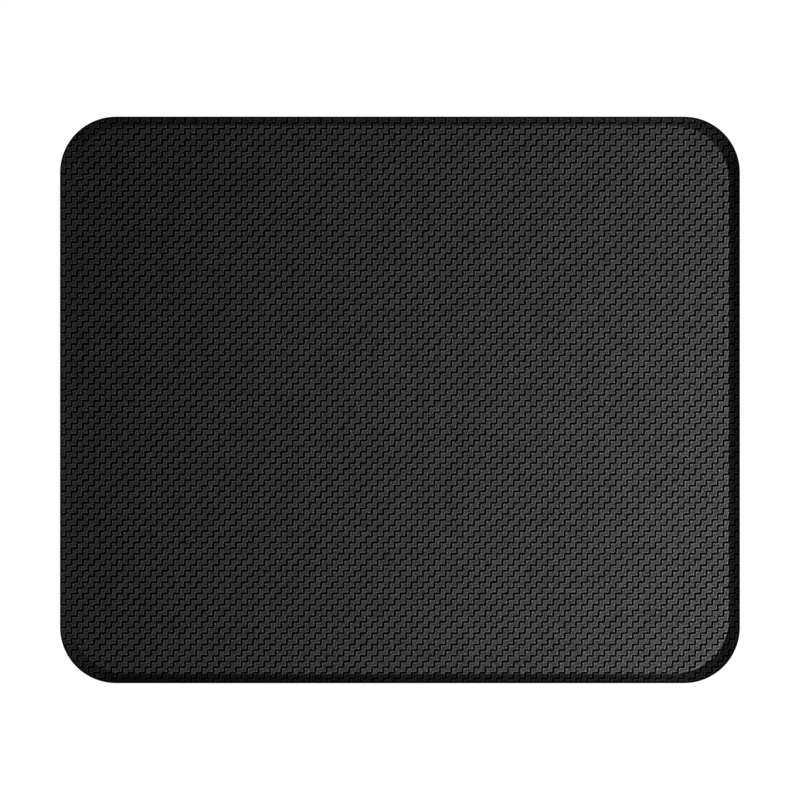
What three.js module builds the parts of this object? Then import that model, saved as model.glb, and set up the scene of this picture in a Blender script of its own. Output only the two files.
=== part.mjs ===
// A cloth mouse pad with a pressed, sloping edge: a bonded stack of rubber, film, foam, film and cloth.
// Millimetres, +Z up. The origin is the centre of the underside, and +X runs along the long side.
import * as THREE from "three";

// Outline of the die-cut sheet
const PAD_LENGTH = 240;
const PAD_WIDTH = 200;
const CORNER_RADIUS = 19.8;

// Thickness of each layer, from the underside up
const BASE_THICKNESS = 1.2;
const BASE_FILM_THICKNESS = 0.1;
const FOAM_THICKNESS = 1.0;
const CLOTH_FILM_THICKNESS = 0.1;
const CLOTH_THICKNESS = 0.6;

// Rubber rim that shows outside the cloth, with its top edge sloped off
const RIM_WIDTH = 0.65;
const RIM_DROP = 0.6;

// Pressed edge: how far in from the outline the slope meets the flat face
const CREASE_INSET_SIDES = 3.85;
const CREASE_INSET_ENDS = 3.2;
const CREASE_RADIUS = 19.8;

// Straight steps that make up each round corner
const CORNER_STEPS = 20;
const QUARTER_TURN = Math.PI / 2;

// Heights of the faces where the layers meet
const BASE_TOP = BASE_THICKNESS;
const BASE_FILM_TOP = BASE_TOP + BASE_FILM_THICKNESS;
const FOAM_TOP = BASE_FILM_TOP + FOAM_THICKNESS;
const CLOTH_FILM_TOP = FOAM_TOP + CLOTH_FILM_THICKNESS;
const PAD_TOP = CLOTH_FILM_TOP + CLOTH_THICKNESS;

// Corner radius of the cloth's foot, which follows the outline at the rim's width
const FOOT_RADIUS = CORNER_RADIUS - RIM_WIDTH;

// How far the sloping edge runs inwards as it rises from the cloth's foot to the crease
const SLOPE_RISE = PAD_TOP - BASE_TOP;
const SLOPE_RUN_SIDES = CREASE_INSET_SIDES - RIM_WIDTH;
const SLOPE_RUN_ENDS = CREASE_INSET_ENDS - RIM_WIDTH;

// Thickness of the wrapped layers, measured square to the slope
const UNDER_CLOTH = CLOTH_THICKNESS;
const UNDER_FILM = CLOTH_THICKNESS + CLOTH_FILM_THICKNESS;

// Horizontal distance that a thickness takes up on a slope of the given run
function setback(thickness, run) {
  return (thickness * Math.hypot(SLOPE_RISE, run)) / SLOPE_RISE;
}

// A rounded rectangle at a height, as points counter-clockwise from the right-hand side
function ring(insetSides, insetEnds, radius, height) {
  const x = PAD_LENGTH / 2 - insetSides - radius;
  const y = PAD_WIDTH / 2 - insetEnds - radius;
  const centres = [[x, y], [-x, y], [-x, -y], [x, -y]];
  const points = centres.flatMap(([cx, cy], corner) => {
    const start = corner * QUARTER_TURN;
    const arc = new THREE.EllipseCurve(cx, cy, radius, radius, start, start + QUARTER_TURN);
    return arc.getPoints(CORNER_STEPS);
  });
  return points.map((point) => new THREE.Vector3(point.x, point.y, height));
}

// The ring of the die-cut outline at a height
function outlineRing(height) {
  return ring(0, 0, CORNER_RADIUS, height);
}

// The ring on the pressed slope at a height, a given thickness below the cloth's outer face
function slopeRing(height, depth) {
  const rise = (height - BASE_TOP) / SLOPE_RISE;
  const inSides = setback(depth, SLOPE_RUN_SIDES);
  const inEnds = setback(depth, SLOPE_RUN_ENDS);
  const outerRadius = THREE.MathUtils.lerp(FOOT_RADIUS, CREASE_RADIUS, rise);
  const radius = outerRadius - (inSides + inEnds) / 2;
  const insetSides = RIM_WIDTH + SLOPE_RUN_SIDES * rise + inSides;
  const insetEnds = RIM_WIDTH + SLOPE_RUN_ENDS * rise + inEnds;
  return ring(insetSides, insetEnds, radius, height);
}

// A closed solid whose skin passes through the rings in turn, with a flat cap on the first and the last.
// The first cap faces down and the last faces up.
function loft(rings) {
  const count = rings[0].length;
  const positions = rings.flat().flatMap((point) => point.toArray());
  const triangles = [];
  for (let level = 0; level + 1 < rings.length; level++) {
    for (let i = 0; i < count; i++) {
      const next = (i + 1) % count;
      const a = level * count + i;
      const b = level * count + next;
      const c = a + count;
      const d = b + count;
      triangles.push(a, b, d, a, d, c);
    }
  }
  const top = (rings.length - 1) * count;
  const flat = rings[0].map((point) => new THREE.Vector2(point.x, point.y));
  for (const [a, b, c] of THREE.ShapeUtils.triangulateShape(flat, [])) {
    triangles.push(a, c, b);
    triangles.push(top + a, top + b, top + c);
  }
  const geometry = new THREE.BufferGeometry();
  geometry.setAttribute("position", new THREE.Float32BufferAttribute(positions, 3));
  geometry.setIndex(triangles);
  geometry.computeVertexNormals();
  return geometry;
}

function piece(name, rings, color, roughness) {
  const material = new THREE.MeshStandardMaterial({ color, roughness, metalness: 0 });
  const mesh = new THREE.Mesh(loft(rings), material);
  mesh.name = name;
  return mesh;
}

// Anti-slip rubber sheet: upright cut edge, then the sloped rim up to the cloth's foot
function rubberBase() {
  const underside = outlineRing(0);
  const cutEdge = outlineRing(BASE_TOP - RIM_DROP);
  const rim = slopeRing(BASE_TOP, 0);
  return piece("rubber_base", [underside, cutEdge, rim], "#0b0b0b", 0.9);
}

// Adhesive sheet between the rubber and the foam
function baseBondFilm() {
  const bottom = slopeRing(BASE_TOP, UNDER_FILM);
  const top = slopeRing(BASE_FILM_TOP, UNDER_FILM);
  return piece("base_bond_film", [bottom, top], "#b9ad8c", 0.4);
}

// Foam sheet with its edge pressed to the slope
function foamCushion() {
  const bottom = slopeRing(BASE_FILM_TOP, UNDER_FILM);
  const top = slopeRing(FOAM_TOP, UNDER_FILM);
  return piece("foam_cushion", [bottom, top], "#1c1c1c", 0.95);
}

// Adhesive sheet over the foam's top and down its slope to the rubber
function clothBondFilm() {
  const ceiling = slopeRing(FOAM_TOP, UNDER_FILM);
  const foamFoot = slopeRing(BASE_FILM_TOP, UNDER_FILM);
  const innerFoot = slopeRing(BASE_TOP, UNDER_FILM);
  const outerFoot = slopeRing(BASE_TOP, UNDER_CLOTH);
  const crease = slopeRing(CLOTH_FILM_TOP, UNDER_CLOTH);
  const rings = [ceiling, foamFoot, innerFoot, outerFoot, crease];
  return piece("cloth_bond_film", rings, "#b9ad8c", 0.4);
}

// Twill cloth over the top and down the slope to its foot on the rubber
function topCloth() {
  const ceiling = slopeRing(CLOTH_FILM_TOP, UNDER_CLOTH);
  const innerFoot = slopeRing(BASE_TOP, UNDER_CLOTH);
  const outerFoot = slopeRing(BASE_TOP, 0);
  const crease = slopeRing(PAD_TOP, 0);
  return piece("top_cloth", [ceiling, innerFoot, outerFoot, crease], "#333333", 0.6);
}

const mousePad = new THREE.Group();
mousePad.add(rubberBase());
mousePad.add(baseBondFilm());
mousePad.add(foamCushion());
mousePad.add(clothBondFilm());
mousePad.add(topCloth());

export default mousePad;
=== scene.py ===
import math
from collections import namedtuple

import bmesh
import bpy
from bpy.props import FloatProperty, FloatVectorProperty, IntProperty, PointerProperty
from mathutils import Matrix, Vector


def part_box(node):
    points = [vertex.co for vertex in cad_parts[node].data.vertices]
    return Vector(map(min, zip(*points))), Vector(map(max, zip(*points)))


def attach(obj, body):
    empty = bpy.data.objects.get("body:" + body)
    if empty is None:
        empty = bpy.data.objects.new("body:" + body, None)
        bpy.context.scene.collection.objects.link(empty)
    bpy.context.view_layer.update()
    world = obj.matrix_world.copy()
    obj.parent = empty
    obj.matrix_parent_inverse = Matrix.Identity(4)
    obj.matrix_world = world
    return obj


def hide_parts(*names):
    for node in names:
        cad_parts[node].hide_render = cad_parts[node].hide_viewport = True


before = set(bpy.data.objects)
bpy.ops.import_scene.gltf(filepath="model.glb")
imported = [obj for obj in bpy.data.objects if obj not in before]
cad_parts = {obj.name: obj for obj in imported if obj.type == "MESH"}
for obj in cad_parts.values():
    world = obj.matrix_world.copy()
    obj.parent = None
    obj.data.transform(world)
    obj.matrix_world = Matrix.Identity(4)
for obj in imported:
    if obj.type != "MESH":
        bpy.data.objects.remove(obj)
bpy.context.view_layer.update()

bl_info = {
    "name": "Twill Mouse Pad",
    "version": (1, 0, 0),
    "blender": (4, 5, 0),
    "location": "View3D > Sidebar > Mouse Pad",
    "description": "Models a bonded mouse pad: stair-step twill cloth, pressed edge and rubber base",
    "category": "Object",
}

# Lengths in this file are metres, so a size in millimetres is multiplied by this
MM = 0.001

# Vertices closer than this are one vertex
WELD = 1e-6

# Slivers thinner than this are dissolved once the crease is cut
SLIVER = 5 * WELD

# Edges that turn more than this are crisp: on the cloth, with its shallow ribs, and on the other pieces
CLOTH_CRISP = math.radians(15)
CRISP = math.radians(25)

# Share of the cloth's map that is left empty between its upper face and its underside
MAP_GAP = 0.02

# Millimetres inside the crease: where the pressed edge and its painted shade end, the face starts, and the
# painted highlight along the fold fades and ends
PRESSED_END = 0.13
FACE_START = 0.21
FOLD_FADE = 0.4
FOLD_END = 0.9

# Tones over the cloth's own colour, all painted light: shade on the sides' slope and on the steeper ends'
# slope, and a highlight on the fold and on a rib's corner
SIDE_SHADE = 0.556
END_SHADE = 0.381
FOLD_HIGHLIGHT = 1.3
CORNER_HIGHLIGHT = 1.6

# In cells: how far a rib's corner reaches, and where its turn round a groove's end starts and is full
CORNER_REACH = 0.4
TURN_START = 0.45
TURN_FULL = 0.6

# Threads: a float's length over its width, the share of painted shade it casts on another, and the grain's
# contrast
FLOAT_RATIO = 2.5
THREAD_SHADE = 0.45
GRAIN_CONTRAST = 2.2

# Sizes of the materials' patterns in millimetres, and the depths of their bumps
FUZZ = 0.3
BLOOM_PATCH = 6
GRIT = 0.3
FOAM_CELL = 0.5
ADHESIVE_RUN = 12
FINE_BUMP = 0.03 * MM
CELL_BUMP = 0.1 * MM

# Heights in millimetres that the rubber's bloom reaches in full and at most
BLOOM_TOP = 0.3
BLOOM_END = 0.4

# The paper sweep: its radius, the height of its rim, its sides, and its gap under the pad's lands
SWEEP_RADIUS = 6
SWEEP_RIM = 2
SWEEP_SIDES = 64
SWEEP_GAP = 0.02 * MM

# The camera sees this far, past the paper sweep
SIGHT = 100

# Names of the finished pieces
CLOTH_NAME = "twill_cloth"
CLOTH_ADHESIVE_NAME = "cloth_adhesive"
FOAM_NAME = "foam_sheet"
BASE_ADHESIVE_NAME = "base_adhesive"
RUBBER_NAME = "anti_slip_rubber"

# Corners of the solids that set the outer sizes and the heights of the layers
rubber_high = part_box("rubber_base")[1]
base_film_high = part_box("base_bond_film")[1]
foam_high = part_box("foam_cushion")[1]
cloth_film_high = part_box("cloth_bond_film")[1]
cloth_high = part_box("top_cloth")[1]

# A rounded rectangle at a height, centred on the vertical axis
Ring = namedtuple("Ring", "half_length half_width radius height")

# A straight line of an outline's first quarter: its outward direction, its distance and the fall beyond it
Line = namedtuple("Line", "along across reach slope")


def linear(code):
    """Turns an sRGB hex colour into a linear colour with full alpha."""
    parts = [int(code[i : i + 2], 16) / 255 for i in (1, 3, 5)]
    light = [p / 12.92 if p <= 0.04045 else ((p + 0.055) / 1.055) ** 2.4 for p in parts]
    return (*light, 1.0)


def length_property(name, description, default):
    """A size that a user may change, shown in the scene's length unit."""
    return FloatProperty(name=name, description=description, default=default, unit="LENGTH", precision=5)


def angle_property(name, description, degrees):
    """An angle that a user may change, with its default in degrees."""
    return FloatProperty(name=name, description=description, default=math.radians(degrees), subtype="ANGLE")


def power_property(name, description, watts):
    """A lamp's power that a user may change."""
    return FloatProperty(name=name, description=description, default=watts, unit="POWER")


def colour_property(name, description, code):
    """A colour that a user may change, with an sRGB hex default."""
    return FloatVectorProperty(
        name=name, description=description, default=linear(code), size=4, min=0, max=1, subtype="COLOR"
    )


class PadSizes(bpy.types.PropertyGroup):
    """Outline, heights and pressed edge of the bonded stack."""

    length: length_property("Length", "Long side of the die-cut outline", 2 * rubber_high.x)
    width: length_property("Width", "Short side of the die-cut outline", 2 * rubber_high.y)
    corner_radius: length_property("Corner radius", "Radius of the outline's corners", 19.8 * MM)
    corner_steps: IntProperty(name="Corner steps", description="Straight steps in a corner", default=20)
    base_top: length_property("Rubber top", "Height of the rubber's upper face", rubber_high.z)
    base_film_top: length_property("Lower film top", "Height of the lower film's face", base_film_high.z)
    foam_top: length_property("Foam top", "Height of the foam's upper face", foam_high.z)
    cloth_film_top: length_property("Upper film top", "Height of the upper film's face", cloth_film_high.z)
    pad_top: length_property("Pad top", "Height of the cloth's upper face", cloth_high.z)
    rim_width: length_property("Rim width", "Rubber outside the cloth's foot", rubber_high.x - cloth_high.x)
    rim_drop: length_property("Rim drop", "Fall of the rim from the cloth's foot to the cut edge", 0.6 * MM)
    rim_round: length_property("Rim round", "Edge taken off the rim where it meets the cut edge", 0.1 * MM)
    crease_inset_sides: length_property("Side crease inset", "Crease to the left and right edges", 3.85 * MM)
    crease_inset_ends: length_property("End crease inset", "Crease to the far and near edges", 3.2 * MM)
    crease_radius: length_property("Crease radius", "Corner radius of the crease", 19.8 * MM)
    ridge_height: length_property("Ridge height", "Cloth squeezed up along the crease", 0.07 * MM)
    ridge_width: length_property("Ridge width", "Width of the squeezed ridge inside the crease", 1.4 * MM)


class WeaveSizes(bpy.types.PropertyGroup):
    """The stair-step twill: square cells joined into stepped ribs, with a groove between ribs."""

    pitch: length_property("Cell pitch", "Side of one square cell of the weave", 1.9994 * MM)
    offset_x: length_property("Offset along", "Centre to a cell's edge, along the length", 0.143 * MM)
    offset_y: length_property("Offset across", "Centre to a cell's edge, along the width", -0.295 * MM)
    groove_half: length_property("Groove half width", "Half the width of a groove's floor", 0.26 * MM)
    wall_width: length_property("Wall width", "Width of a groove's sloping wall, seen from above", 0.15 * MM)
    shoulder_width: length_property("Shoulder width", "Width of a rib's rounded shoulder", 0.49 * MM)
    # Painted shade: this much of a groove's middle is drawn near black
    groove_shade_half: length_property("Dark half width", "Half the width that looks black in a groove", 0.39 * MM)
    # Painted highlight: the palest line along a rib's edge lies this far out
    highlight_line: length_property("Pale line", "Groove's middle to the palest line on a rib's edge", 0.555 * MM)
    groove_depth: length_property("Groove depth", "Depth of a groove under the top of a rib", 0.3 * MM)
    shoulder_drop: length_property("Shoulder drop", "Fall of a rib's shoulder under its top", 0.012 * MM)
    corner_bulge: length_property("Corner bulge", "Reach of the threads past a rib's corner", 0.07 * MM)
    end_closing: length_property("End closing", "Reach of the threads round a groove's end", 0.1 * MM)
    uneven_reach: length_property("Uneven reach", "Most that one thread's reach differs", 0.06 * MM)
    threads: IntProperty(name="Threads", description="Threads side by side in one cell", default=12)
    corner_pull: FloatProperty(
        name="Corner pull",
        description="How far a groove's edge is drawn back towards the groove where a rib turns round it",
        default=0.25,
        subtype="FACTOR",
    )
    groove_share: FloatProperty(
        name="Groove share",
        description="The most of the height over the rubber that a groove takes, near the cloth's foot",
        default=0.6,
        subtype="FACTOR",
    )


class TreadSizes(bpy.types.PropertyGroup):
    """The moulded diamonds under the rubber."""

    pitch: length_property("Diamond pitch", "Side of one diamond of the tread", 3.2 * MM)
    border: length_property("Plain border", "Flat margin inside the outline", 2.0 * MM)
    land_half: length_property("Land half width", "Half the width of the lands between diamonds", 0.45 * MM)
    wall_width: length_property("Wall width", "Width of a diamond's sloping wall", 0.2 * MM)
    depth: length_property("Tread depth", "Depth of a diamond", 0.25 * MM)


class PadColours(bpy.types.PropertyGroup):
    """Colours of the layers, as they look in plain light."""

    rib: colour_property("Rib", "Middle of a rib", "#313131")
    # Painted highlight along a rib's edge
    rib_edge_highlight: colour_property("Rib edge", "Threads that turn over the edge of a rib", "#494949")
    # Painted shade: the floor of a groove is drawn near black
    groove: colour_property("Groove", "Floor of a groove", "#030303")
    rubber: colour_property("Rubber", "Moulded underside of the rubber", "#1b1b1b")
    rubber_bloom: colour_property("Rubber bloom", "Paler film on the moulded underside", "#272727")
    rubber_cut: colour_property("Cut rubber", "Die-cut edge and rim of the rubber", "#060606")
    foam: colour_property("Foam", "Walls of the foam's cells", "#242424")
    # Painted shade in the foam's pores
    foam_pore_shade: colour_property("Foam pore", "Pores of the foam", "#0c0c0c")
    adhesive: colour_property("Adhesive", "Hot-melt adhesive film", "#b9ad8c")
    adhesive_thin: colour_property("Thin adhesive", "Adhesive where the film ran thin", "#a2956f")
    floor: colour_property("Floor", "Paper that the pad lies on", "#b0b0b0")
    floor_shade: colour_property("Floor shade", "Share of the paper's light that takes shadow", "#4a4a4a")


class StageSettings(bpy.types.PropertyGroup):
    """Lamps, room light, paper and camera."""

    panel_size: length_property("Panel size", "Side of a square light panel", 0.5)
    panel_distance: length_property("Panel distance", "A panel to the pad's centre", 4.6)
    key_power: power_property("Key power", "Power of the low panel", 35.27)
    key_azimuth: angle_property("Key azimuth", "Low panel's bearing from +X", 163.6)
    key_height: angle_property("Key height", "Low panel's angle over the floor", 26.12)
    key_spread: angle_property("Key spread", "Opening of the low panel's grid", 11.15)
    key_aim_x: length_property("Key aim along", "Where the low panel points, along the length", 1.567)
    key_aim_y: length_property("Key aim across", "Where the low panel points, along the width", -0.473)
    top_power: power_property("Top power", "Power of the overhead panel", 36.37)
    top_spread: angle_property("Top spread", "Opening of the overhead panel's grid", 29.04)
    top_aim_x: length_property("Top aim along", "Where the overhead panel points, along the length", 1.234)
    top_aim_y: length_property("Top aim across", "Where the overhead panel points, along the width", -0.57)
    room_light: FloatProperty(name="Room light", description="Strength of the even light", default=0.03)
    floor_glow: FloatProperty(name="Floor glow", description="The paper's own brightness", default=0.985)
    lens: FloatProperty(name="Lens", description="Focal length in millimetres", default=400, unit="CAMERA")
    frame_width: length_property("Frame width", "Width of the picture at the pad's outline", 282.37 * MM)
    camera_x: length_property("Camera along", "Camera's place along the length", 0.02 * MM)
    camera_y: length_property("Camera across", "Camera's place along the width", -0.035 * MM)


# Rings, lines and the steps that every piece uses


def outline_ring(sizes, height):
    """The die-cut outline at a height."""
    return Ring(sizes.length / 2, sizes.width / 2, sizes.corner_radius, height)


def smaller(ring, inset, height):
    """A ring set in evenly from another one, at a height of its own."""
    return Ring(ring.half_length - inset, ring.half_width - inset, ring.radius - inset, height)


def slope_ring(sizes, height, depth):
    """The ring on the pressed slope at a height, a given thickness under the cloth's outer face."""
    rise = sizes.pad_top - sizes.base_top
    share = (height - sizes.base_top) / rise
    run_sides = sizes.crease_inset_sides - sizes.rim_width
    run_ends = sizes.crease_inset_ends - sizes.rim_width
    in_sides = depth * math.hypot(rise, run_sides) / rise
    in_ends = depth * math.hypot(rise, run_ends) / rise
    foot_radius = sizes.corner_radius - sizes.rim_width
    outer_radius = foot_radius + (sizes.crease_radius - foot_radius) * share
    return Ring(
        sizes.length / 2 - sizes.rim_width - run_sides * share - in_sides,
        sizes.width / 2 - sizes.rim_width - run_ends * share - in_ends,
        outer_radius - (in_sides + in_ends) / 2,
        height,
    )


def ring_lines(ring, steps):
    """The straight lines of a ring's first quarter: its side, its end and the steps of its corner."""
    lines = [Line(1, 0, ring.half_length, 0), Line(0, 1, ring.half_width, 0)]
    corner_x = ring.half_length - ring.radius
    corner_y = ring.half_width - ring.radius
    step = math.pi / 2 / steps
    for i in range(steps):
        along = math.cos((i + 0.5) * step)
        across = math.sin((i + 0.5) * step)
        reach = along * corner_x + across * corner_y + ring.radius * math.cos(step / 2)
        lines.append(Line(along, across, reach, 0))
    return lines


def slope_lines(crease, foot, steps):
    """The crease's lines, each with the fall of the plane that runs from it down to the foot."""
    rise = crease.height - foot.height
    pairs = zip(ring_lines(crease, steps), ring_lines(foot, steps))
    return [inner._replace(slope=rise / (outer.reach - inner.reach)) for inner, outer in pairs]


def distance_inside(point, lines):
    """How far a point lies inside an outline's lines, or below zero outside them."""
    x = abs(point.x)
    y = abs(point.y)
    return min(line.reach - line.along * x - line.across * y for line in lines)


def fall_past(point, line):
    """How far the slope past a crease line has fallen at a point."""
    return (line.along * abs(point.x) + line.across * abs(point.y) - line.reach) * line.slope


def only(kind, items):
    """The items of one kind of mesh element."""
    return [item for item in items if isinstance(item, kind)]


def with_edges(faces):
    """Faces with their own edges and vertices, as the cutting operator takes them."""
    # A set's order differs from run to run and would change the mesh, so these keep the faces' order
    edges = dict.fromkeys(edge for face in faces for edge in face.edges)
    verts = dict.fromkeys(vert for face in faces for vert in face.verts)
    return [*faces, *edges, *verts]


def cut(bm, faces, line, turn_x, turn_y, trim):
    """Cuts faces along a line, mirrored to a quarter of the pad, and returns the faces that are left."""
    outward = Vector((line.along * turn_x, line.across * turn_y, 0))
    result = bmesh.ops.bisect_plane(
        bm,
        geom=with_edges(faces),
        dist=WELD / 10,
        plane_co=outward * line.reach,
        plane_no=outward,
        clear_outer=trim,
    )
    return only(bmesh.types.BMFace, result["geom"])


def trim_to_ring(bm, ring, steps):
    """Cuts away everything outside a ring."""
    side, end, *corner = ring_lines(ring, steps)
    for turn in (1, -1):
        cut(bm, bm.faces[:], side, turn, 1, trim=True)
        cut(bm, bm.faces[:], end, 1, turn, trim=True)
    corner_x = ring.half_length - ring.radius
    corner_y = ring.half_width - ring.radius
    for turn_x in (1, -1):
        for turn_y in (1, -1):
            faces = faces_past(bm, corner_x * turn_x, corner_y * turn_y)
            for line in corner:
                faces = cut(bm, faces, line, turn_x, turn_y, trim=True)


def faces_past(bm, x, y):
    """Faces that reach past a corner's centre, away from the middle of the pad."""
    turn_x = math.copysign(1, x)
    turn_y = math.copysign(1, y)
    return [
        face
        for face in bm.faces
        if any(vert.co.x * turn_x >= abs(x) and vert.co.y * turn_y >= abs(y) for vert in face.verts)
    ]


def move_to_ring(verts, start, end):
    """Moves vertices that lie on one ring to the matching places on another."""
    start_x = start.half_length - start.radius
    start_y = start.half_width - start.radius
    end_x = end.half_length - end.radius
    end_y = end.half_width - end.radius
    for vert in verts:
        x = abs(vert.co.x)
        y = abs(vert.co.y)
        if x <= start_x:
            place = (x * end_x / start_x, end.half_width)
        elif y <= start_y:
            place = (end.half_length, y * end_y / start_y)
        else:
            turn = math.atan2(y - start_y, x - start_x)
            place = (end_x + end.radius * math.cos(turn), end_y + end.radius * math.sin(turn))
        vert.co = (math.copysign(place[0], vert.co.x), math.copysign(place[1], vert.co.y), end.height)


def extrude_through(bm, rings):
    """Carries the open edge of a sheet on the first ring through the others, then closes it with a face."""
    edges = [edge for edge in bm.edges if edge.is_boundary]
    for start, end in zip(rings, rings[1:]):
        made = bmesh.ops.extrude_edge_only(bm, edges=edges)["geom"]
        move_to_ring(only(bmesh.types.BMVert, made), start, end)
        edges = [edge for edge in only(bmesh.types.BMEdge, made) if edge.is_boundary]
    bmesh.ops.edgeloop_fill(bm, edges=edges)


def rounded_sheet(bm, ring, steps):
    """Starts a mesh with one flat face that has round corners."""
    place = Matrix.Translation((0, 0, ring.height))
    shape = Matrix.Diagonal((ring.half_length, ring.half_width, 1, 1))
    corners = bmesh.ops.create_grid(bm, x_segments=1, y_segments=1, size=1, matrix=place @ shape)["verts"]
    bmesh.ops.bevel(
        bm,
        geom=corners,
        offset=ring.radius,
        offset_type="OFFSET",
        segments=steps,
        profile=0.5,
        affect="VERTICES",
        material=-1,
    )


def layered_solid(rings, steps):
    """A closed mesh whose skin runs through the rings in turn."""
    bm = bmesh.new()
    rounded_sheet(bm, rings[0], steps)
    extrude_through(bm, rings)
    return bm


def finish_piece(bm, name, material, node, sharp_angle):
    """Turns a mesh into a piece with crisp folds that stands for a solid and rides on the pad."""
    bmesh.ops.recalc_face_normals(bm, faces=bm.faces[:])
    for face in bm.faces:
        face.smooth = True
    for edge in bm.edges:
        edge.smooth = edge.calc_face_angle(0) < sharp_angle
    mesh = bpy.data.meshes.new(name)
    bm.to_mesh(mesh)
    bm.free()
    mesh.materials.append(material)
    piece = bpy.data.objects.new(name, mesh)
    bpy.context.collection.objects.link(piece)
    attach(piece, "root")
    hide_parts(node)
    return piece


# The twill cloth


def lay_cells(bm, sizes, weave):
    """Lays out the square cells of the weave and parts them into stepped ribs."""
    columns = 2 * math.ceil(sizes.length / 2 / weave.pitch + 1)
    rows = 2 * math.ceil(sizes.width / 2 / weave.pitch + 1)
    place = Matrix.Translation((weave.offset_x, weave.offset_y, sizes.pad_top))
    shape = Matrix.Diagonal((columns * weave.pitch / 2, rows * weave.pitch / 2, 1, 1))
    bmesh.ops.create_grid(bm, x_segments=columns, y_segments=rows, size=1, matrix=place @ shape)
    rib_of = {}
    for face in bm.faces:
        centre = face.calc_center_median()
        column = math.floor((centre.x - weave.offset_x) / weave.pitch)
        row = math.floor((centre.y - weave.offset_y) / weave.pitch)
        rib_of[face] = (column - row + 1) // 2
    borders = [edge for edge in bm.edges if len({rib_of[face] for face in edge.link_faces}) > 1]
    bmesh.ops.split_edges(bm, edges=borders)


def raise_ribs(bm, weave, groove_gap):
    """Insets each rib to a groove floor, a wall and a shoulder, and notes their distance from the groove."""
    faces = bm.faces[:]
    ribs = set(faces)
    distance = 0
    inner_corners = []
    for step in (weave.groove_half, weave.wall_width, weave.shoulder_width):
        bmesh.ops.inset_region(bm, faces=faces, thickness=step, use_boundary=True, use_even_offset=True)
        distance += step
        for vert in {vert for face in faces for vert in face.verts}:
            vert[groove_gap] = distance / MM
            if distance < 2 * weave.groove_half and sum(face in ribs for face in vert.link_faces) == 3:
                inner_corners.append(vert)
    # Where a rib turns round the end of a groove, the groove is narrower
    pull = weave.groove_half * weave.corner_pull
    for vert in inner_corners:
        cross_x = weave.offset_x + weave.pitch * round((vert.co.x - weave.offset_x) / weave.pitch)
        cross_y = weave.offset_y + weave.pitch * round((vert.co.y - weave.offset_y) / weave.pitch)
        vert.co.x -= math.copysign(pull, vert.co.x - cross_x)
        vert.co.y -= math.copysign(pull, vert.co.y - cross_y)
    bmesh.ops.remove_doubles(bm, verts=bm.verts[:], dist=WELD)


def faces_at_step(faces, crease, line, turn_x, turn_y, half_step):
    """Faces that lie across one straight step of the crease's corner."""
    corner = Vector((crease.half_length - crease.radius, crease.half_width - crease.radius))
    middle = corner + crease.radius * Vector((line.along, line.across))
    found = []
    for face in faces:
        ahead = []
        for vert in face.verts:
            from_middle = Vector((vert.co.x * turn_x, vert.co.y * turn_y)) - middle
            ahead.append(from_middle.y * line.along - from_middle.x * line.across)
        if min(ahead) < half_step and max(ahead) > -half_step:
            found.append(face)
    return found


def cut_crease(bm, crease, steps):
    """Puts an edge along the crease, so that the cloth folds there."""
    side, end, *corner = ring_lines(crease, steps)
    corner_x = crease.half_length - crease.radius
    corner_y = crease.half_width - crease.radius
    for turn in (1, -1):
        faces = [face for face in bm.faces if any(abs(vert.co.y) < corner_y for vert in face.verts)]
        cut(bm, faces, side, turn, 1, trim=False)
        faces = [face for face in bm.faces if any(abs(vert.co.x) < corner_x for vert in face.verts)]
        cut(bm, faces, end, 1, turn, trim=False)
    half_step = crease.radius * math.sin(math.pi / 4 / steps)
    for turn_x in (1, -1):
        for turn_y in (1, -1):
            faces = faces_past(bm, corner_x * turn_x, corner_y * turn_y)
            for line in corner:
                near = faces_at_step(faces, crease, line, turn_x, turn_y, half_step)
                crossed = set(near)
                faces = [face for face in faces if face not in crossed]
                faces += cut(bm, near, line, turn_x, turn_y, trim=False)


def sunk_under_rib(gap, weave):
    """How far the cloth lies under a rib's top, at a distance in millimetres from the groove's middle."""
    wall_top = (weave.groove_half + weave.wall_width) / MM
    shoulder_top = wall_top + weave.shoulder_width / MM
    if gap <= wall_top:
        wall_share = max(0, gap - weave.groove_half / MM) / (weave.wall_width / MM)
        return weave.groove_depth + (weave.shoulder_drop - weave.groove_depth) * wall_share
    return weave.shoulder_drop * (shoulder_top - gap) / (shoulder_top - wall_top)


def press_cloth(bm, sizes, weave, groove_gap, crease_gap, end_share):
    """Sinks the grooves and presses the edge down its slope to the foot on the rubber."""
    steps = sizes.corner_steps
    crease = slope_ring(sizes, sizes.pad_top, 0)
    foot = slope_ring(sizes, sizes.base_top, 0)
    lines = slope_lines(crease, foot, steps)
    straight = lines[:2]
    rise = sizes.pad_top - sizes.base_top
    corner_x = crease.half_length - crease.radius
    corner_y = crease.half_width - crease.radius
    for vert in bm.verts:
        near_corner = abs(vert.co.x) > corner_x and abs(vert.co.y) > corner_y
        edge_lines = lines if near_corner else straight
        sunk = sunk_under_rib(vert[groove_gap], weave)
        steepest = max(edge_lines, key=lambda line: fall_past(vert.co, line))
        height = sizes.pad_top - max(0, fall_past(vert.co, steepest))
        over_rubber = max(0, height - sizes.base_top)
        inside = distance_inside(vert.co, edge_lines)
        ridge = max(0, 1 - max(0, inside) / sizes.ridge_width) ** 2
        height += sizes.ridge_height * ridge * over_rubber / rise
        vert.co.z = height - sunk * min(1, over_rubber * weave.groove_share / weave.groove_depth)
        vert[crease_gap] = inside / MM
        vert[end_share] = steepest.across


def map_cloth(bm, sizes, top_faces):
    """Lays the cloth's upper face flat on its map, with the underside in the strip beside it."""
    uv = bm.loops.layers.uv.new("OFBake")
    half_length = sizes.length / 2
    half_width = sizes.width / 2
    top_share = sizes.width / sizes.length
    for face in bm.faces:
        low, high = (0, top_share) if face in top_faces else (top_share + MAP_GAP, 1)
        for loop in face.loops:
            across = (loop.vert.co.y + half_width) / (2 * half_width)
            along = (loop.vert.co.x + half_length) / (2 * half_length)
            loop[uv].uv = (along, low + (high - low) * across)


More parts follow.
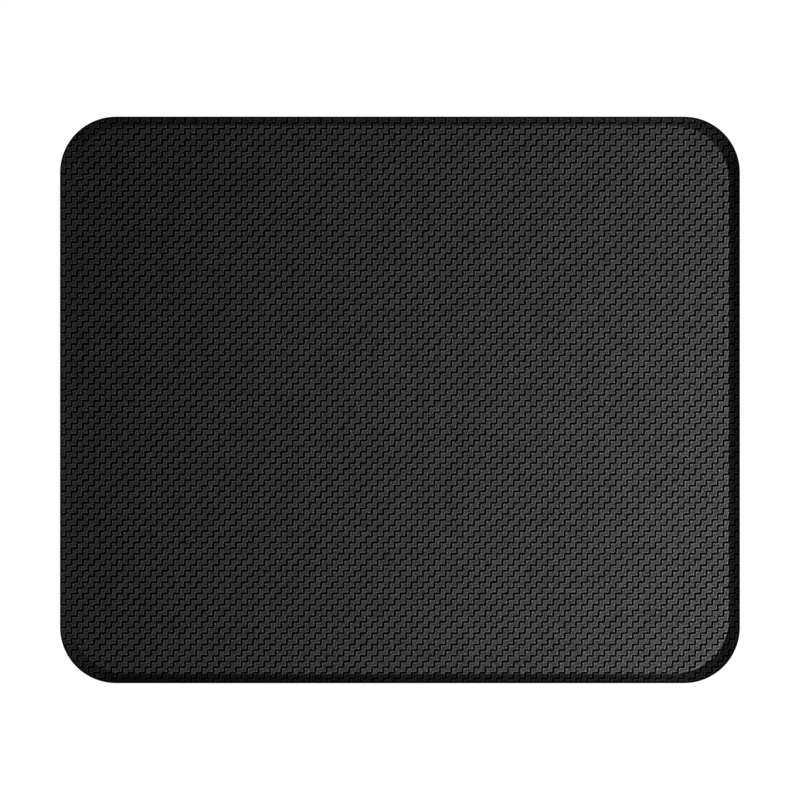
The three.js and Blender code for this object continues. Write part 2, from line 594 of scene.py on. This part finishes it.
class PAD_OT_twill_cloth(bpy.types.Operator):
    """Weave the twill cloth, press its edge down and close it underneath"""

    bl_idname = "pad.twill_cloth"
    bl_label = "Twill Cloth"

    def execute(self, context):
        sizes = context.scene.pad_sizes
        weave = context.scene.pad_weave
        bm = bmesh.new()
        groove_gap = bm.verts.layers.float.new("groove_gap")
        crease_gap = bm.verts.layers.float.new("crease_gap")
        end_share = bm.verts.layers.float.new("end_share")
        lay_cells(bm, sizes, weave)
        raise_ribs(bm, weave, groove_gap)
        crease = slope_ring(sizes, sizes.pad_top, 0)
        foot = slope_ring(sizes, sizes.base_top, 0)
        trim_to_ring(bm, foot, sizes.corner_steps)
        cut_crease(bm, crease, sizes.corner_steps)
        bmesh.ops.dissolve_degenerate(bm, dist=SLIVER, edges=bm.edges[:])
        press_cloth(bm, sizes, weave, groove_gap, crease_gap, end_share)
        top_faces = set(bm.faces)
        thickness = sizes.pad_top - sizes.cloth_film_top
        inner_foot = slope_ring(sizes, sizes.base_top, thickness)
        ceiling = slope_ring(sizes, sizes.cloth_film_top, thickness)
        extrude_through(bm, [foot, inner_foot, ceiling])
        map_cloth(bm, sizes, top_faces)
        material = twill_material(context.scene.pad_colours, weave)
        cloth = finish_piece(bm, CLOTH_NAME, material, "top_cloth", CLOTH_CRISP)
        return {"FINISHED"}


# The rubber base, the foam and the adhesive films


def mould_tread(bm, sizes, tread):
    """Lays a flat sheet of diamonds, sinks those clear of the edge and trims the sheet to the outline."""
    outline = outline_ring(sizes, 0)
    lines = ring_lines(outline, sizes.corner_steps)
    count = 2 * math.ceil(math.hypot(sizes.length, sizes.width) / 2 / tread.pitch)
    turn = Matrix.Rotation(math.radians(45), 4, "Z")
    bmesh.ops.create_grid(bm, x_segments=count, y_segments=count, size=count * tread.pitch / 2, matrix=turn)
    cells = []
    for face in bm.faces:
        if min(distance_inside(vert.co, lines) for vert in face.verts) > tread.border:
            cells.append(face)
    bmesh.ops.inset_individual(bm, faces=cells, thickness=tread.land_half, use_even_offset=True)
    bmesh.ops.inset_individual(
        bm, faces=cells, thickness=tread.wall_width, depth=tread.depth, use_even_offset=True
    )
    trim_to_ring(bm, outline, sizes.corner_steps)


class PAD_OT_rubber_base(bpy.types.Operator):
    """Mould the rubber base with its diamond tread, upright cut edge and sloped rim"""

    bl_idname = "pad.rubber_base"
    bl_label = "Rubber Base"

    def execute(self, context):
        sizes = context.scene.pad_sizes
        bm = bmesh.new()
        mould_tread(bm, sizes, context.scene.pad_tread)
        underside = outline_ring(sizes, 0)
        cut_height = sizes.base_top - sizes.rim_drop
        rings = [
            underside,
            outline_ring(sizes, cut_height - sizes.rim_round),
            smaller(underside, sizes.rim_round / 2, cut_height),
            slope_ring(sizes, sizes.base_top, 0),
        ]
        extrude_through(bm, rings)
        material = rubber_material(context.scene.pad_colours)
        finish_piece(bm, RUBBER_NAME, material, "rubber_base", CRISP)
        return {"FINISHED"}


class PAD_OT_foam_sheet(bpy.types.Operator):
    """Cut the foam sheet with its edge pressed to the slope"""

    bl_idname = "pad.foam_sheet"
    bl_label = "Foam Sheet"

    def execute(self, context):
        sizes = context.scene.pad_sizes
        under_film = sizes.pad_top - sizes.foam_top
        bottom = slope_ring(sizes, sizes.base_film_top, under_film)
        top = slope_ring(sizes, sizes.foam_top, under_film)
        bm = layered_solid([bottom, top], sizes.corner_steps)
        material = foam_material(context.scene.pad_colours)
        foam = finish_piece(bm, FOAM_NAME, material, "foam_cushion", CRISP)
        return {"FINISHED"}


class PAD_OT_adhesive_films(bpy.types.Operator):
    """Cast the adhesive films under the foam and between the foam and the cloth"""

    bl_idname = "pad.adhesive_films"
    bl_label = "Adhesive Films"

    def execute(self, context):
        sizes = context.scene.pad_sizes
        under_cloth = sizes.pad_top - sizes.cloth_film_top
        under_film = sizes.pad_top - sizes.foam_top
        lower_rings = [
            slope_ring(sizes, sizes.base_top, under_film),
            slope_ring(sizes, sizes.base_film_top, under_film),
        ]
        upper_rings = [
            slope_ring(sizes, sizes.foam_top, under_film),
            slope_ring(sizes, sizes.base_film_top, under_film),
            slope_ring(sizes, sizes.base_top, under_film),
            slope_ring(sizes, sizes.base_top, under_cloth),
            slope_ring(sizes, sizes.cloth_film_top, under_cloth),
        ]
        material = adhesive_material(context.scene.pad_colours)
        for name, node, rings in (
            (BASE_ADHESIVE_NAME, "base_bond_film", lower_rings),
            (CLOTH_ADHESIVE_NAME, "cloth_bond_film", upper_rings),
        ):
            bm = layered_solid(rings, sizes.corner_steps)
            finish_piece(bm, name, material, node, CRISP)
        return {"FINISHED"}


# Materials


def new_material(name):
    """A material with an empty node tree."""
    material = bpy.data.materials.new(name)
    material.use_nodes = True
    material.node_tree.nodes.clear()
    return material


def add_node(tree, kind, inputs=None, **settings):
    """Adds a node, sets its settings, and sets or links its inputs."""
    node = tree.nodes.new(kind)
    for name, value in settings.items():
        setattr(node, name, value)
    for name, value in (inputs or {}).items():
        if isinstance(value, bpy.types.NodeSocket):
            tree.links.new(value, node.inputs[name])
        else:
            node.inputs[name].default_value = value
    return node


def set_stops(ramp, stops):
    """Gives a colour ramp its stops, from the lowest up."""
    elements = ramp.color_ramp.elements
    while len(elements) < len(stops):
        elements.new(1.0)
    for element, (position, colour) in zip(elements, stops):
        element.position = position
        element.color = colour


def millimetre_coordinates(tree):
    """Object coordinates in millimetres, so that a pattern's scale is one over its size."""
    place = add_node(tree, "ShaderNodeTexCoord")
    return add_node(
        tree, "ShaderNodeVectorMath", {0: place.outputs["Object"], "Scale": 1 / MM}, operation="SCALE"
    ).outputs["Vector"]


def thread_tones(tree, place, float_size):
    """A random value for each float of a set of threads, given its size in millimetres."""
    snapped = add_node(
        tree, "ShaderNodeVectorMath", {0: place, 1: float_size}, operation="SNAP"
    ).outputs["Vector"]
    return add_node(
        tree, "ShaderNodeTexWhiteNoise", {"Vector": snapped}, noise_dimensions="2D"
    ).outputs["Value"]


def shaded_threads(tree, place, float_size, beside):
    """Random values for a set of threads, each lowered by a share of the value at a place beside it."""
    own = thread_tones(tree, place, float_size)
    moved = add_node(
        tree, "ShaderNodeVectorMath", {0: place, 1: beside}, operation="ADD"
    ).outputs["Vector"]
    other = thread_tones(tree, moved, float_size)
    return add_node(
        tree, "ShaderNodeMath", {0: other, 1: -THREAD_SHADE, 2: own}, operation="MULTIPLY_ADD"
    ).outputs["Value"]


def weave_grain(tree, place, weave):
    """The cloth's uneven grain from thread to thread, with painted shade from floats that stand proud, from
    0 to 1.
    """
    # Real threads are finer than these, which are drawn as coarse as they need to be to show
    wide = weave.pitch / weave.threads / MM
    long = FLOAT_RATIO * wide
    # A float that stands proud casts painted shade on the next but one
    warp = shaded_threads(tree, place, (wide, long, 1), (2 * wide, 0, 0))
    weft = shaded_threads(tree, place, (long, wide, 1), (0, 2 * wide, 0))
    both = add_node(tree, "ShaderNodeMath", {0: warp, 1: weft}, operation="ADD").outputs["Value"]
    return add_node(
        tree, "ShaderNodeMapRange", {"Value": both, "From Min": -2 * THREAD_SHADE, "From Max": 2.0}
    ).outputs["Result"]


def corner_distance(tree, place, weave):
    """Distance in cells from the diagonal through a groove's steps, where the ribs' corners stand."""
    diagonal = add_node(
        tree,
        "ShaderNodeVectorMath",
        {0: place, 1: (MM / weave.pitch, -MM / weave.pitch, 0)},
        operation="DOT_PRODUCT",
    ).outputs["Value"]
    # A groove's steps are one cell across, so their diagonal lies half a cell from the cells' corners
    from_line = add_node(
        tree,
        "ShaderNodeMath",
        {0: diagonal, 1: -0.5 - (weave.offset_x - weave.offset_y) / weave.pitch},
        operation="ADD",
    ).outputs["Value"]
    return add_node(
        tree, "ShaderNodeMath", {0: from_line, 1: 1.0}, operation="PINGPONG"
    ).outputs["Value"]


def rib_colour(tree, colours, weave, grain, off_corner):
    """Colour across a rib: near black painted shade in the groove, a painted highlight on the rib's edge,
    and the rib's own darker colour in its middle.
    """
    groove_gap = add_node(tree, "ShaderNodeAttribute", attribute_name="groove_gap").outputs["Fac"]
    # The painted shade in the groove narrows, and the painted highlight reaches further in, where threads
    # bulge at a rib's corner, close over a groove that a rib turns round, and reach out unevenly
    bulge = add_node(
        tree,
        "ShaderNodeMapRange",
        {"Value": off_corner, "From Max": CORNER_REACH, "To Min": weave.corner_bulge / MM, "To Max": 0.0},
    ).outputs["Result"]
    closing = add_node(
        tree,
        "ShaderNodeMapRange",
        {
            "Value": off_corner,
            "From Min": TURN_START,
            "From Max": TURN_FULL,
            "To Max": weave.end_closing / MM,
        },
    ).outputs["Result"]
    uneven = weave.uneven_reach / MM
    reach = add_node(
        tree, "ShaderNodeMapRange", {"Value": grain, "To Min": -uneven, "To Max": uneven}
    ).outputs["Result"]
    from_groove = groove_gap
    for more in (bulge, closing, reach):
        total = add_node(tree, "ShaderNodeMath", {0: from_groove, 1: more}, operation="ADD")
        from_groove = total.outputs["Value"]
    shoulder_top = (weave.groove_half + weave.wall_width + weave.shoulder_width) / MM
    tone = add_node(tree, "ShaderNodeValToRGB", {"Fac": from_groove})
    set_stops(
        tone,
        [
            (weave.groove_shade_half / MM, colours.groove),
            (weave.highlight_line / MM, colours.rib_edge_highlight),
            (shoulder_top, colours.rib),
        ],
    )
    return tone.outputs["Color"]


def painted_edge_light(tree):
    """Whether a place lies on the flat face, and its painted tone: shade on the pressed slope, a highlight
    on the fold.
    """
    crease_gap = add_node(tree, "ShaderNodeAttribute", attribute_name="crease_gap").outputs["Fac"]
    end_share = add_node(tree, "ShaderNodeAttribute", attribute_name="end_share").outputs["Fac"]
    on_face = add_node(
        tree,
        "ShaderNodeMapRange",
        {"Value": crease_gap, "From Min": PRESSED_END, "From Max": FACE_START},
    ).outputs["Result"]
    # Painted shade on the slope, darker on the steeper ends than on the sides
    slope_shade = add_node(
        tree, "ShaderNodeMapRange", {"Value": end_share, "To Min": SIDE_SHADE, "To Max": END_SHADE}
    ).outputs["Result"]
    # Painted highlight along the fold inside the crease
    fold_highlight = add_node(
        tree,
        "ShaderNodeMapRange",
        {
            "Value": crease_gap,
            "From Min": FOLD_FADE,
            "From Max": FOLD_END,
            "To Min": FOLD_HIGHLIGHT,
            "To Max": 1.0,
        },
    ).outputs["Result"]
    edge_shade_and_highlight = add_node(
        tree, "ShaderNodeMapRange", {"Value": on_face, "To Min": slope_shade, "To Max": fold_highlight}
    ).outputs["Result"]
    return on_face, edge_shade_and_highlight


def twill_material(colours, weave):
    """Polyester twill, woven and heat pressed at the edge."""
    # Matte black threads with an uneven grain from thread to thread, a painted highlight on a rib's edge and
    # corners, and near black painted shade down in the grooves. The pressed edge carries painted shade and
    # is smoother, with a painted highlight along the fold.
    material = new_material("polyester_twill_woven")
    tree = material.node_tree
    place = millimetre_coordinates(tree)
    grain = weave_grain(tree, place, weave)
    off_corner = corner_distance(tree, place, weave)
    on_face, edge_shade_and_highlight = painted_edge_light(tree)
    # The grain's middle is a half, so twice the grain keeps the cloth's own tone there
    thread_tone = add_node(tree, "ShaderNodeMath", {0: grain, 1: 2.0}, operation="MULTIPLY").outputs["Value"]
    grain_tone = add_node(
        tree, "ShaderNodeMath", {0: thread_tone, 1: GRAIN_CONTRAST}, operation="POWER"
    ).outputs["Value"]
    # Painted highlight on a rib's corner
    corner_highlight = add_node(
        tree,
        "ShaderNodeMapRange",
        {"Value": off_corner, "From Max": CORNER_REACH, "To Min": CORNER_HIGHLIGHT, "To Max": 1.0},
    ).outputs["Result"]
    factor = grain_tone
    for tone in (corner_highlight, edge_shade_and_highlight):
        product = add_node(tree, "ShaderNodeMath", {0: factor, 1: tone}, operation="MULTIPLY")
        factor = product.outputs["Value"]
    rib = rib_colour(tree, colours, weave, grain, off_corner)
    colour = add_node(
        tree, "ShaderNodeVectorMath", {0: rib, "Scale": factor}, operation="SCALE"
    ).outputs["Vector"]
    roughness = add_node(
        tree, "ShaderNodeMapRange", {"Value": on_face, "To Min": 0.6, "To Max": 0.75}
    ).outputs["Result"]
    fuzz = add_node(
        tree, "ShaderNodeTexNoise", {"Vector": place, "Scale": 1 / FUZZ, "Detail": 2.0}
    ).outputs["Fac"]
    bump = add_node(
        tree, "ShaderNodeBump", {"Height": fuzz, "Strength": 0.25, "Distance": FINE_BUMP}
    ).outputs["Normal"]
    shader = add_node(
        tree,
        "ShaderNodeBsdfPrincipled",
        {"Base Color": colour, "Roughness": roughness, "Specular IOR Level": 0.01, "Normal": bump},
    )
    add_node(tree, "ShaderNodeOutputMaterial", {"Surface": shader.outputs["BSDF"]})
    return material


def rubber_material(colours):
    """Natural rubber, moulded."""
    # Dull charcoal underneath, with patches of grey bloom and a fine moulded grit, and black where it is cut
    material = new_material("natural_rubber_moulded")
    tree = material.node_tree
    place = millimetre_coordinates(tree)
    bloom = add_node(
        tree,
        "ShaderNodeTexNoise",
        {"Vector": place, "Scale": 1 / BLOOM_PATCH, "Detail": 4.0, "Roughness": 0.6},
    ).outputs["Fac"]
    # The tread lies in the bloom, and the cut edge above it has none
    height = add_node(tree, "ShaderNodeSeparateXYZ", {"Vector": place}).outputs["Z"]
    under = add_node(
        tree,
        "ShaderNodeMapRange",
        {"Value": height, "From Min": BLOOM_TOP, "From Max": BLOOM_END, "To Min": 1.0, "To Max": 0.0},
    ).outputs["Result"]
    film = add_node(tree, "ShaderNodeMath", {0: bloom, 1: under}, operation="MULTIPLY").outputs["Value"]
    tone = add_node(tree, "ShaderNodeValToRGB", {"Fac": film})
    set_stops(tone, [(0.0, colours.rubber_cut), (0.35, colours.rubber), (0.7, colours.rubber_bloom)])
    grit = add_node(
        tree, "ShaderNodeTexNoise", {"Vector": place, "Scale": 1 / GRIT, "Detail": 2.0}
    ).outputs["Fac"]
    roughness = add_node(
        tree, "ShaderNodeMapRange", {"Value": bloom, "To Min": 0.8, "To Max": 0.95}
    ).outputs["Result"]
    bump = add_node(
        tree, "ShaderNodeBump", {"Height": grit, "Strength": 0.3, "Distance": FINE_BUMP}
    ).outputs["Normal"]
    shader = add_node(
        tree,
        "ShaderNodeBsdfPrincipled",
        {
            "Base Color": tone.outputs["Color"],
            "Roughness": roughness,
            "Specular IOR Level": 0.01,
            "Normal": bump,
        },
    )
    add_node(tree, "ShaderNodeOutputMaterial", {"Surface": shader.outputs["BSDF"]})
    return material


def foam_material(colours):
    """Polyurethane foam, slit from a block."""
    # Dull dark grey, pitted with cut cells whose hollows carry near black painted shade
    material = new_material("polyurethane_foam_slit")
    tree = material.node_tree
    place = millimetre_coordinates(tree)
    cells = add_node(
        tree, "ShaderNodeTexVoronoi", {"Vector": place, "Scale": 1 / FOAM_CELL}, feature="DISTANCE_TO_EDGE"
    ).outputs["Distance"]
    tone = add_node(tree, "ShaderNodeValToRGB", {"Fac": cells})
    set_stops(tone, [(0.05, colours.foam), (0.3, colours.foam_pore_shade)])
    bump = add_node(
        tree, "ShaderNodeBump", {"Height": cells, "Strength": 0.6, "Distance": CELL_BUMP}, invert=True
    ).outputs["Normal"]
    shader = add_node(
        tree,
        "ShaderNodeBsdfPrincipled",
        {"Base Color": tone.outputs["Color"], "Roughness": 0.95, "Specular IOR Level": 0.1, "Normal": bump},
    )
    add_node(tree, "ShaderNodeOutputMaterial", {"Surface": shader.outputs["BSDF"]})
    return material


def adhesive_material(colours):
    """Hot-melt adhesive, cast as a film."""
    # Waxy pale yellow, a little darker where the film ran thin, with a soft shine
    material = new_material("hot_melt_adhesive_cast")
    tree = material.node_tree
    place = millimetre_coordinates(tree)
    runs = add_node(
        tree, "ShaderNodeTexNoise", {"Vector": place, "Scale": 1 / ADHESIVE_RUN, "Detail": 3.0}
    ).outputs["Fac"]
    tone = add_node(tree, "ShaderNodeValToRGB", {"Fac": runs})
    set_stops(tone, [(0.35, colours.adhesive_thin), (0.65, colours.adhesive)])
    roughness = add_node(
        tree, "ShaderNodeMapRange", {"Value": runs, "To Min": 0.3, "To Max": 0.5}
    ).outputs["Result"]
    shader = add_node(
        tree,
        "ShaderNodeBsdfPrincipled",
        {"Base Color": tone.outputs["Color"], "Roughness": roughness, "IOR": 1.48},
    )
    add_node(tree, "ShaderNodeOutputMaterial", {"Surface": shader.outputs["BSDF"]})
    return material


def paper_material(colours, stage):
    """White paper, matte."""
    # Bright enough by itself to look white, and it still takes the pad's shadow
    material = new_material("white_paper_matte")
    tree = material.node_tree
    path = add_node(tree, "ShaderNodeLightPath").outputs
    seen = path["Is Camera Ray"]
    for ray in ("Is Glossy Ray", "Is Transmission Ray"):
        either = add_node(tree, "ShaderNodeMath", {0: seen, 1: path[ray]}, operation="MAXIMUM")
        seen = either.outputs["Value"]
    glow = add_node(tree, "ShaderNodeEmission", {"Strength": stage.floor_glow})
    shade = add_node(tree, "ShaderNodeBsdfDiffuse", {"Color": colours.floor_shade})
    lit = add_node(tree, "ShaderNodeAddShader", {0: glow.outputs["Emission"], 1: shade.outputs["BSDF"]})
    paper = add_node(tree, "ShaderNodeBsdfDiffuse", {"Color": colours.floor})
    mixed = add_node(
        tree, "ShaderNodeMixShader", {0: seen, 1: paper.outputs["BSDF"], 2: lit.outputs["Shader"]}
    )
    add_node(tree, "ShaderNodeOutputMaterial", {"Surface": mixed.outputs["Shader"]})
    return material


# The stage


def lay_floor(colours, stage):
    """A round paper sweep that turns up at its rim."""
    bm = bmesh.new()
    just_under = Matrix.Translation((0, 0, -SWEEP_GAP))
    bmesh.ops.create_circle(bm, cap_ends=True, segments=SWEEP_SIDES, radius=SWEEP_RADIUS, matrix=just_under)
    edges = [edge for edge in bm.edges if edge.is_boundary]
    made = bmesh.ops.extrude_edge_only(bm, edges=edges)["geom"]
    bmesh.ops.translate(bm, verts=only(bmesh.types.BMVert, made), vec=(0, 0, SWEEP_RIM))
    mesh = bpy.data.meshes.new("paper_sweep")
    bm.to_mesh(mesh)
    bm.free()
    mesh.materials.append(paper_material(colours, stage))
    floor = bpy.data.objects.new("paper_sweep", mesh)
    bpy.context.collection.objects.link(floor)


def hang_panel(name, stage, direction, aim, power, spread):
    """A soft square panel with a grid, in a direction from the pad, that points at a place on the floor."""
    lamp = bpy.data.lights.new(name, "AREA")
    lamp.shape = "SQUARE"
    lamp.size = stage.panel_size
    lamp.energy = power
    lamp.spread = spread
    panel = bpy.data.objects.new(name, lamp)
    panel.location = direction * stage.panel_distance
    panel.rotation_euler = (aim - panel.location).to_track_quat("-Z", "Y").to_euler()
    bpy.context.collection.objects.link(panel)


def hang_key(stage):
    """The low panel, to the left of the pad, that points past its right side and rakes the weave."""
    flat = math.cos(stage.key_height)
    direction = Vector(
        (
            flat * math.cos(stage.key_azimuth),
            flat * math.sin(stage.key_azimuth),
            math.sin(stage.key_height),
        )
    )
    aim = Vector((stage.key_aim_x, stage.key_aim_y, 0))
    hang_panel("key_panel", stage, direction, aim, stage.key_power, stage.key_spread)


def hang_top(stage):
    """The overhead panel, which points past the near right corner and fills the shaded slopes."""
    aim = Vector((stage.top_aim_x, stage.top_aim_y, 0))
    hang_panel("top_panel", stage, Vector((0, 0, 1)), aim, stage.top_power, stage.top_spread)


def light_room(stage):
    """A weak even light from all round."""
    world = bpy.data.worlds.new("room")
    world.use_nodes = True
    tree = world.node_tree
    tree.nodes.clear()
    light = add_node(tree, "ShaderNodeBackground", {"Strength": stage.room_light})
    add_node(tree, "ShaderNodeOutputWorld", {"Surface": light.outputs["Background"]})
    bpy.context.scene.world = world


def set_camera(sizes, stage):
    """A long lens straight above the pad."""
    lens = bpy.data.cameras.new("camera")
    lens.lens = stage.lens
    lens.clip_end = SIGHT
    camera = bpy.data.objects.new("camera", lens)
    height = sizes.base_top / 2 + stage.frame_width * stage.lens / lens.sensor_width
    camera.location = (stage.camera_x, stage.camera_y, height)
    bpy.context.collection.objects.link(camera)
    bpy.context.scene.camera = camera


class PAD_OT_stage(bpy.types.Operator):
    """Set up the floor, the light and the camera"""

    bl_idname = "pad.stage"
    bl_label = "Stage"

    def execute(self, context):
        stage = context.scene.pad_stage
        lay_floor(context.scene.pad_colours, stage)
        hang_key(stage)
        hang_top(stage)
        light_room(stage)
        set_camera(context.scene.pad_sizes, stage)
        context.scene.view_settings.view_transform = "Standard"
        return {"FINISHED"}


OPERATORS = (
    PAD_OT_rubber_base,
    PAD_OT_adhesive_films,
    PAD_OT_foam_sheet,
    PAD_OT_twill_cloth,
    PAD_OT_stage,
)


class PAD_PT_panel(bpy.types.Panel):
    """Lists the steps and the settings of the mouse pad"""

    bl_idname = "PAD_PT_panel"
    bl_label = "Mouse Pad"
    bl_space_type = "VIEW_3D"
    bl_region_type = "UI"
    bl_category = "Mouse Pad"

    def draw(self, context):
        for operator in OPERATORS:
            self.layout.operator(operator.bl_idname)
        for name in GROUPS:
            group = getattr(context.scene, name)
            column = self.layout.column(align=True)
            for field in group.bl_rna.properties:
                if field.identifier not in ("rna_type", "name"):
                    column.prop(group, field.identifier)


GROUPS = {
    "pad_sizes": PadSizes,
    "pad_weave": WeaveSizes,
    "pad_tread": TreadSizes,
    "pad_colours": PadColours,
    "pad_stage": StageSettings,
}
CLASSES = (*GROUPS.values(), *OPERATORS, PAD_PT_panel)


def register():
    for cls in CLASSES:
        bpy.utils.register_class(cls)
    for name, group in GROUPS.items():
        setattr(bpy.types.Scene, name, PointerProperty(type=group))


def unregister():
    for name in GROUPS:
        delattr(bpy.types.Scene, name)
    for cls in reversed(CLASSES):
        bpy.utils.unregister_class(cls)


def main():
    register()
    bpy.ops.pad.rubber_base()
    bpy.ops.pad.adhesive_films()
    bpy.ops.pad.foam_sheet()
    bpy.ops.pad.twill_cloth()
    bpy.ops.pad.stage()


if __name__ == "__main__":
    main()
